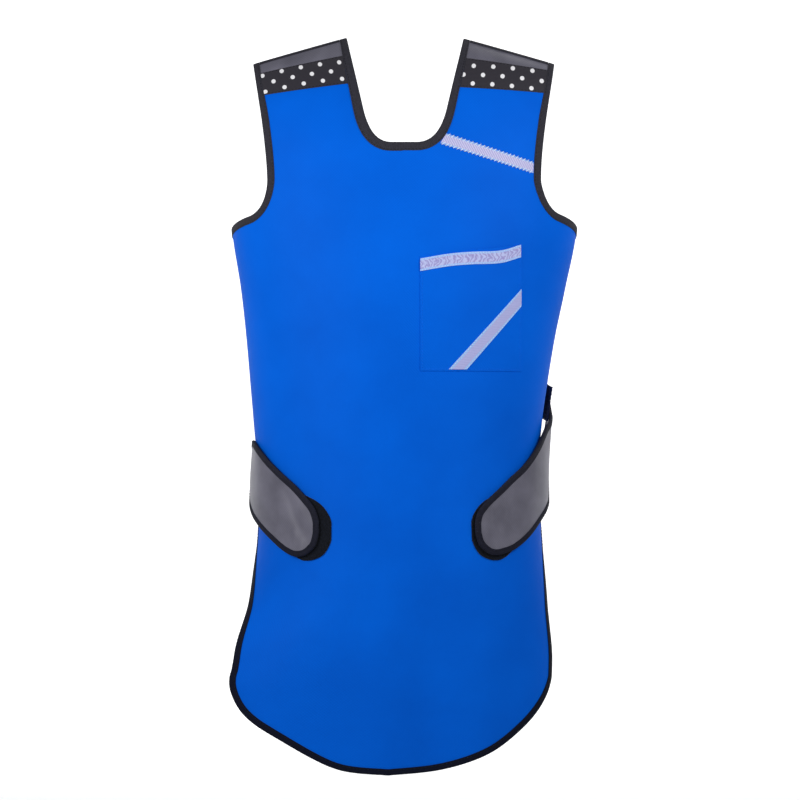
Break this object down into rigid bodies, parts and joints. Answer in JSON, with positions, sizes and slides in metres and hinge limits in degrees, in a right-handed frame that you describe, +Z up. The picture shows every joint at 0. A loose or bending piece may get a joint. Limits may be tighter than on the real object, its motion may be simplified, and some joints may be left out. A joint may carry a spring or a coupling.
{
  "type": "lead x-ray apron",
  "caption": "Frontal x-ray protection apron in its worn shape: sleeveless bound panel with a patch pocket, dotted shoulder bands, and belt wings joined by an elastic round the back.",
  "frame": {"origin": "midway between the two shoulders, level with the shoulder crests, where the apron sits on its wearer", "axes": "+Z up along the wearer, -Y toward the front of the apron, +X to the right as seen from the front"},
  "size_m": [0.4574, 0.2579, 0.9517],
  "materials": {
    "blue_nylon": "smooth coated nylon cover cloth, royal blue",
    "grey_nylon": "coated nylon, grey with a soft sheen",
    "black_tape": "woven binding tape, charcoal black",
    "dotted_ribbon": "black ribbon with round white dots",
    "lavender_ribbon": "woven reflective ribbon, pale lavender",
    "black_loop": "napped loop pile, black",
    "dark_webbing": "ribbed elastic webbing, navy black"
  },
  "bodies": {
    "root": {"front_panel": "blue_nylon", "chest_pocket": "blue_nylon", "shoulder_cap_left": "grey_nylon", "shoulder_cap_right": "grey_nylon", "belt_wing_left": "grey_nylon", "belt_wing_right": "grey_nylon", "edge_binding": "black_tape", "neck_binding": "black_tape", "cap_binding_left": "black_tape", "cap_binding_right": "black_tape", "wing_binding_left": "black_tape", "wing_binding_right": "black_tape", "dotted_band_left": "dotted_ribbon", "dotted_band_right": "dotted_ribbon", "shoulder_ribbon": "lavender_ribbon", "pocket_top_ribbon": "lavender_ribbon", "pocket_slant_ribbon": "lavender_ribbon", "loop_patch_left": "black_loop", "loop_patch_right": "black_loop", "back_elastic": "dark_webbing", "back_strap_left": "dark_webbing", "back_strap_right": "dark_webbing"}
  },
  "joints": []
}
